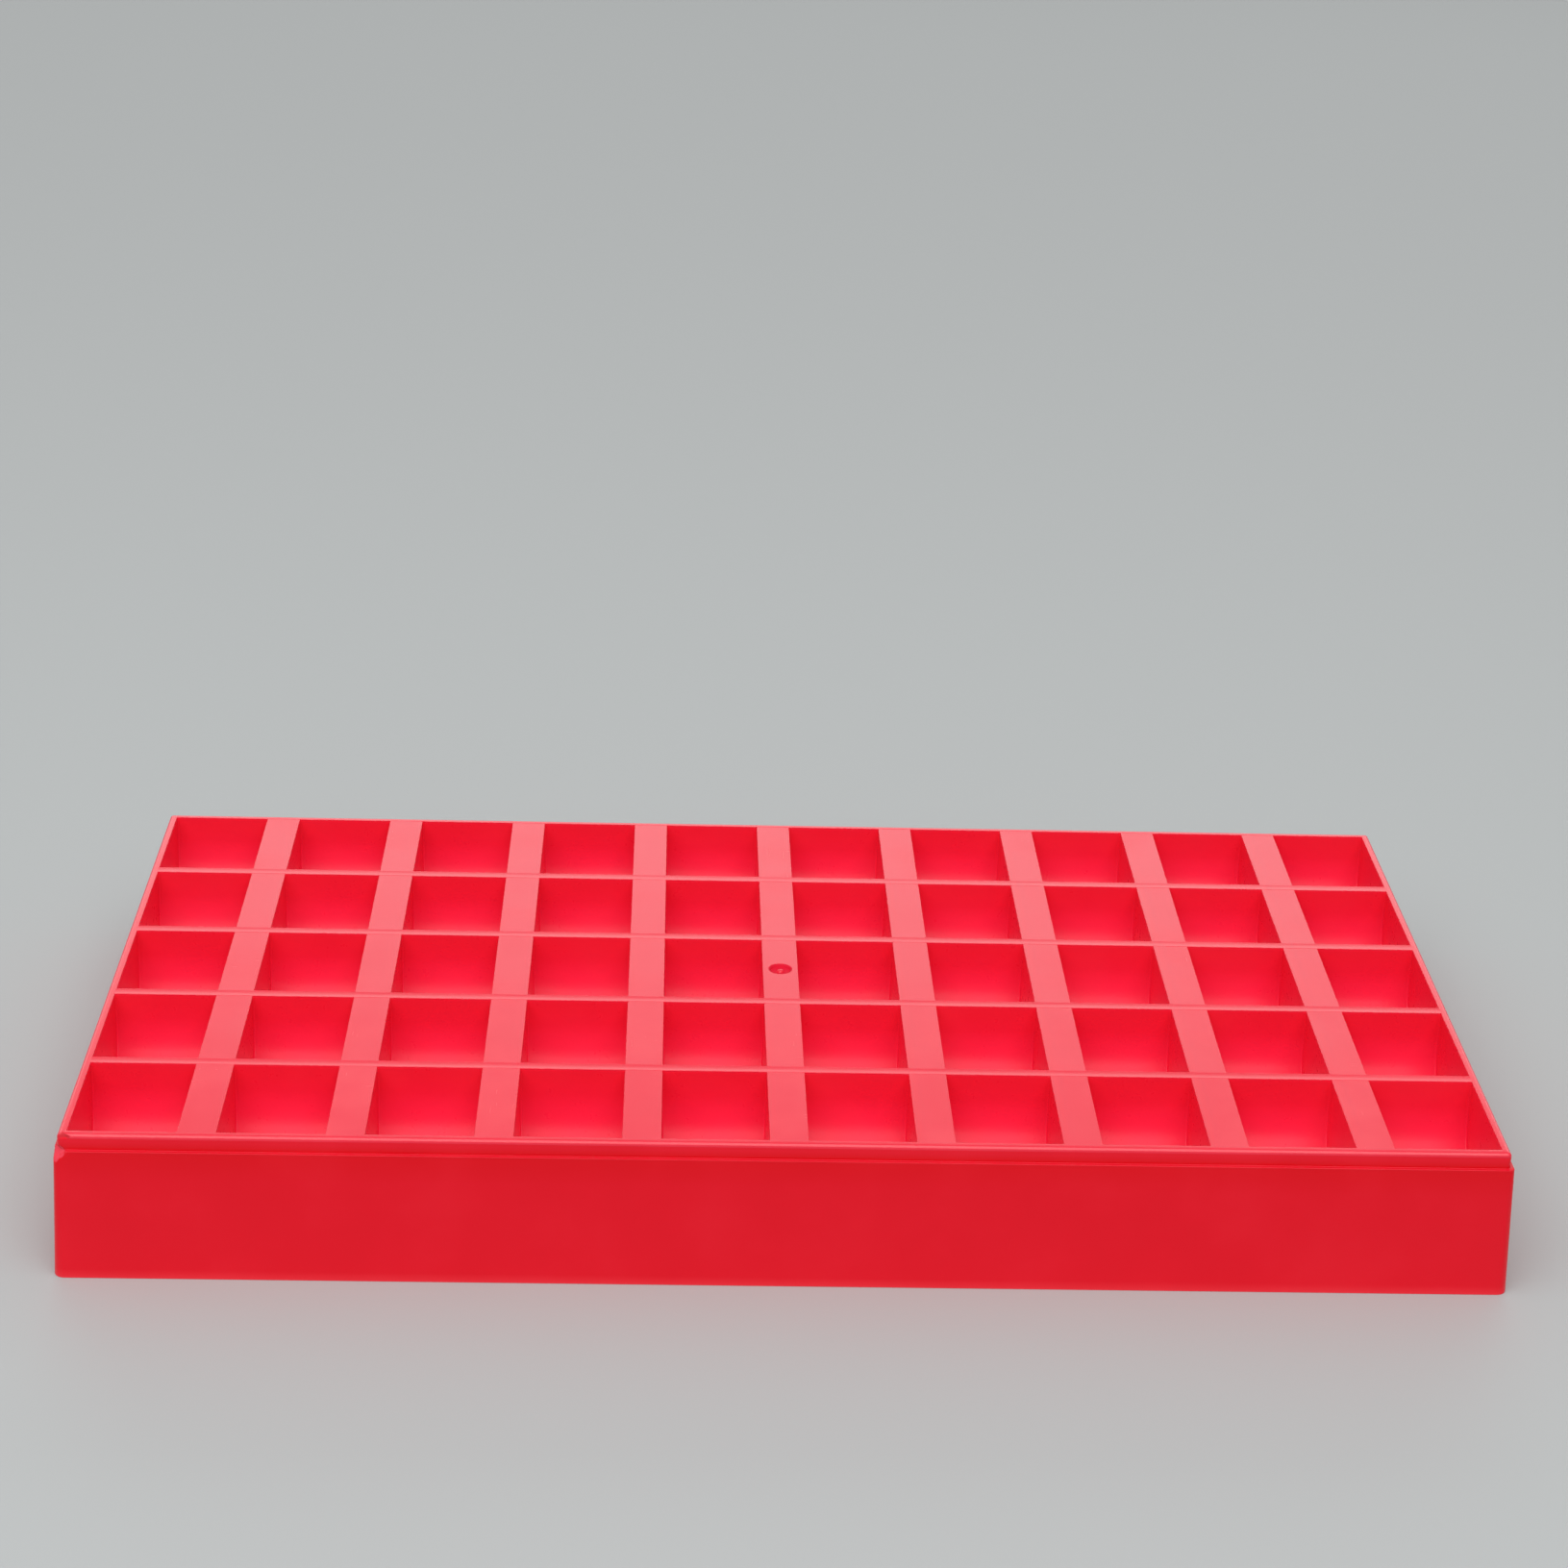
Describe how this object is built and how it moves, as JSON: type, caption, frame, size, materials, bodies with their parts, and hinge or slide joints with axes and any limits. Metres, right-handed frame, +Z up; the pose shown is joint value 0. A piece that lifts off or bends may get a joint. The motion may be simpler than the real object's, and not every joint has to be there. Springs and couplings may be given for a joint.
{
  "type": "coin counting tray",
  "caption": "Shallow moulded tray with a grid of pockets whose half-round bottoms cradle coins on edge, and a stepped rim and foot for stacking.",
  "frame": {"origin": "middle of the tray's underside, on the plane that the foot rests on", "axes": "+X along the tray's long side, +Y towards the back long side, +Z up, out of the pockets"},
  "size_m": [0.2696, 0.1504, 0.0289],
  "materials": {
    "tray_plastic": "glossy moulded plastic"
  },
  "bodies": {
    "root": {"front_wall": "tray_plastic", "back_wall": "tray_plastic", "left_wall": "tray_plastic", "right_wall": "tray_plastic", "front_rim": "tray_plastic", "back_rim": "tray_plastic", "left_rim": "tray_plastic", "right_rim": "tray_plastic", "front_foot": "tray_plastic", "back_foot": "tray_plastic", "left_foot": "tray_plastic", "right_foot": "tray_plastic", "row_wall_1": "tray_plastic", "row_wall_2": "tray_plastic", "row_wall_3": "tray_plastic", "row_wall_4": "tray_plastic", "column_strip_1": "tray_plastic", "column_strip_2": "tray_plastic", "column_strip_3": "tray_plastic", "column_strip_4": "tray_plastic", "column_strip_5": "tray_plastic", "column_strip_6": "tray_plastic", "column_strip_7": "tray_plastic", "column_strip_8": "tray_plastic", "column_strip_9": "tray_plastic", "pocket_sides_1": "tray_plastic", "pocket_sides_2": "tray_plastic", "pocket_sides_3": "tray_plastic", "pocket_sides_4": "tray_plastic", "pocket_sides_5": "tray_plastic", "pocket_sides_6": "tray_plastic", "pocket_sides_7": "tray_plastic", "pocket_sides_8": "tray_plastic", "pocket_sides_9": "tray_plastic", "pocket_sides_10": "tray_plastic", "pocket_cradles_1": "tray_plastic", "pocket_cradles_2": "tray_plastic", "pocket_cradles_3": "tray_plastic", "pocket_cradles_4": "tray_plastic", "pocket_cradles_5": "tray_plastic", "pocket_cradles_6": "tray_plastic", "pocket_cradles_7": "tray_plastic", "pocket_cradles_8": "tray_plastic", "pocket_cradles_9": "tray_plastic", "pocket_cradles_10": "tray_plastic", "gate_stub": "tray_plastic"}
  },
  "joints": []
}
